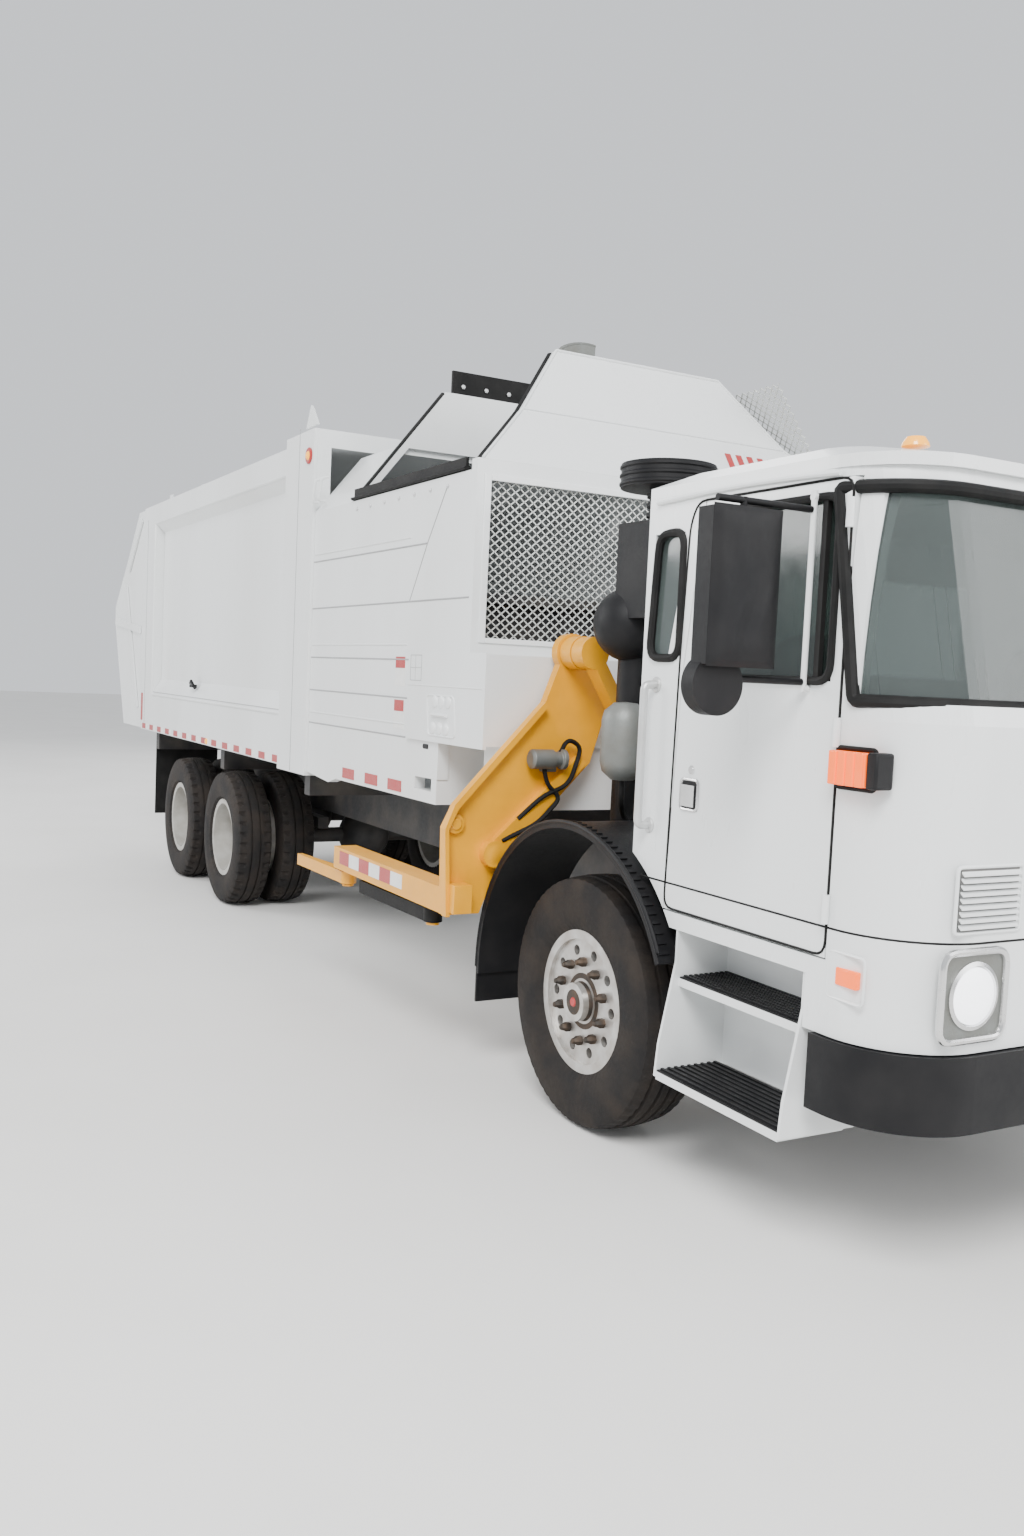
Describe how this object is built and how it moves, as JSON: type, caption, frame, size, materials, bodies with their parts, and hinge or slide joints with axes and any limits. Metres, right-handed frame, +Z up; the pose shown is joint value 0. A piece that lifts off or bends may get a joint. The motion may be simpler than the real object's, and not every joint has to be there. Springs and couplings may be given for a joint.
{
  "type": "side-loading refuse truck",
  "caption": "Low-entry cab-over refuse truck with a hopper behind the cab, an ejector body with a lifting tailgate, and a folding side arm that grabs bins.",
  "frame": {"origin": "on the ground below the middle of the truck's length and width", "axes": "+X forward, +Y to the truck's left, +Z up"},
  "size_m": [11.13, 3.33, 3.7],
  "materials": {
    "white_paint": "gloss white enamel with road dust",
    "chassis_paint": "dull black chassis paint",
    "arm_paint": "gloss yellow enamel",
    "window_glass": "green tinted glass",
    "black_plastic": "satin black moulding",
    "black_rubber": "matt rubber sheet",
    "tyre_rubber": "ribbed tread, dusty sidewall",
    "rim_metal": "machined disc, weathered",
    "bright_metal": "brushed",
    "seat_fabric": "dark woven cloth",
    "lamp_lens": "ribbed lens"
  },
  "bodies": {
    "root": {"chassis_rails": "chassis_paint", "cross_members": "chassis_paint", "sills": "chassis_paint", "engine_block": "chassis_paint", "fuel_tank": "bright_metal", "front_axle": "chassis_paint", "rear_axles": "chassis_paint", "suspension": "chassis_paint", "cab_shell": "white_paint", "cab_roof": "white_paint", "cab_glass": "window_glass", "dashboard": "black_plastic", "seats": "seat_fabric", "front_bumper": "black_plastic", "front_lamps": "lamp_lens", "steps": "white_paint", "fenders": "black_plastic", "air_intake": "black_plastic", "hopper": "white_paint", "hopper_hood": "white_paint", "hopper_screen": "white_paint", "control_box": "white_paint", "body_shell": "white_paint", "arm_base": "arm_paint", "mud_flaps": "black_rubber", "rubber_flaps": "black_rubber"},
    "packer": {"packer": "chassis_paint"},
    "door_right": {"door_right": "white_paint", "door_glass_right": "window_glass", "mirror_right": "black_plastic"},
    "door_left": {"door_left": "white_paint", "door_glass_left": "window_glass", "mirror_left": "black_plastic"},
    "knuckle_right": {"knuckle_right": "chassis_paint"},
    "knuckle_left": {"knuckle_left": "chassis_paint"},
    "front_wheel_right": {"front_tyre_right": "tyre_rubber", "front_rim_right": "rim_metal"},
    "front_wheel_left": {"front_tyre_left": "tyre_rubber", "front_rim_left": "rim_metal"},
    "rear_wheels_1_right": {"rear_tyres_1_right": "tyre_rubber", "rear_rims_1_right": "rim_metal"},
    "rear_wheels_1_left": {"rear_tyres_1_left": "tyre_rubber", "rear_rims_1_left": "rim_metal"},
    "rear_wheels_2_right": {"rear_tyres_2_right": "tyre_rubber", "rear_rims_2_right": "rim_metal"},
    "rear_wheels_2_left": {"rear_tyres_2_left": "tyre_rubber", "rear_rims_2_left": "rim_metal"},
    "tailgate": {"tailgate": "white_paint"},
    "tailgate_barrels": {"tailgate_barrels": "chassis_paint"},
    "tailgate_rods": {"tailgate_rods": "bright_metal"},
    "arm_inner": {"arm_inner": "arm_paint"},
    "arm_head": {"arm_head": "arm_paint"},
    "arm_outer": {"arm_outer": "arm_paint"},
    "finger_front": {"finger_front": "black_rubber"},
    "finger_rear": {"finger_rear": "arm_paint"}
  },
  "joints": [
    {"name": "steer_right", "type": "hinge", "parent": "root", "child": "knuckle_right", "pos_m": [3.735, -0.78, 0.53], "axis": [0, 0, 1], "range_deg": [-32, 32]},
    {"name": "steer_left", "type": "hinge", "parent": "root", "child": "knuckle_left", "pos_m": [3.735, 0.78, 0.53], "axis": [0, 0, 1], "range_deg": [-32, 32]},
    {"name": "spin_front_right", "type": "hinge", "parent": "knuckle_right", "child": "front_wheel_right", "pos_m": [3.735, -1.03, 0.53], "axis": [0, 1, 0], "continuous": true},
    {"name": "spin_front_left", "type": "hinge", "parent": "knuckle_left", "child": "front_wheel_left", "pos_m": [3.735, 1.03, 0.53], "axis": [0, 1, 0], "continuous": true},
    {"name": "spin_rear_1_right", "type": "hinge", "parent": "root", "child": "rear_wheels_1_right", "pos_m": [-1.52, -0.905, 0.52], "axis": [0, 1, 0], "continuous": true},
    {"name": "spin_rear_1_left", "type": "hinge", "parent": "root", "child": "rear_wheels_1_left", "pos_m": [-1.52, 0.905, 0.52], "axis": [0, 1, 0], "continuous": true},
    {"name": "spin_rear_2_right", "type": "hinge", "parent": "root", "child": "rear_wheels_2_right", "pos_m": [-2.862, -0.905, 0.52], "axis": [0, 1, 0], "continuous": true},
    {"name": "spin_rear_2_left", "type": "hinge", "parent": "root", "child": "rear_wheels_2_left", "pos_m": [-2.862, 0.905, 0.52], "axis": [0, 1, 0], "continuous": true},
    {"name": "door_right_hinge", "type": "hinge", "parent": "root", "child": "door_right", "pos_m": [5.213, -1.21, 1.5], "axis": [0, 0, 1], "range_deg": [0, 70]},
    {"name": "door_left_hinge", "type": "hinge", "parent": "root", "child": "door_left", "pos_m": [5.213, 1.21, 1.5], "axis": [0, 0, -1], "range_deg": [0, 70]},
    {"name": "packer_slide", "type": "slide", "parent": "root", "child": "packer", "axis": [-1, 0, 0], "range_m": [0, 5.9]},
    {"name": "tailgate_hinge", "type": "hinge", "parent": "root", "child": "tailgate", "pos_m": [-4.305, 0, 3.35], "axis": [0, 1, 0], "range_deg": [0, 80]},
    {"name": "tailgate_barrel_hinge", "type": "hinge", "parent": "root", "child": "tailgate_barrels", "pos_m": [-3.265, 0, 3.42], "axis": [0, 1, 0], "range_deg": [-10, 10]},
    {"name": "tailgate_rod_slide", "type": "slide", "parent": "tailgate_barrels", "child": "tailgate_rods", "axis": [1, 0, 0], "range_m": [-0.05, 0.4]},
    {"name": "arm_shoulder", "type": "hinge", "parent": "root", "child": "arm_inner", "pos_m": [3.188, -0.3, 1.15], "axis": [1, 0, 0], "range_deg": [0, 25]},
    {"name": "arm_level", "type": "hinge", "parent": "arm_inner", "child": "arm_head", "pos_m": [3.188, -0.84, 2], "axis": [-1, 0, 0], "range_deg": [0, 25]},
    {"name": "arm_lift", "type": "hinge", "parent": "arm_head", "child": "arm_outer", "pos_m": [3.015, -0.84, 2], "axis": [-1, 0, 0], "range_deg": [0, 135]},
    {"name": "grab_front", "type": "hinge", "parent": "arm_outer", "child": "finger_front", "pos_m": [2.785, -1.395, 0.73], "axis": [0, 0, 1], "range_deg": [0, 60]},
    {"name": "grab_rear", "type": "hinge", "parent": "arm_outer", "child": "finger_rear", "pos_m": [1.685, -1.395, 0.73], "axis": [0, 0, 1], "range_deg": [0, 110]}
  ],
  "couplings": [
    {"joint": "steer_left", "follows": "steer_right", "ratio": 1},
    {"joint": "arm_level", "follows": "arm_shoulder", "ratio": 1},
    {"joint": "tailgate_barrel_hinge", "follows": "tailgate_hinge", "ratio": 0.05746},
    {"joint": "tailgate_rod_slide", "follows": "tailgate_hinge", "m_per_rad": 0.12993}
  ]
}
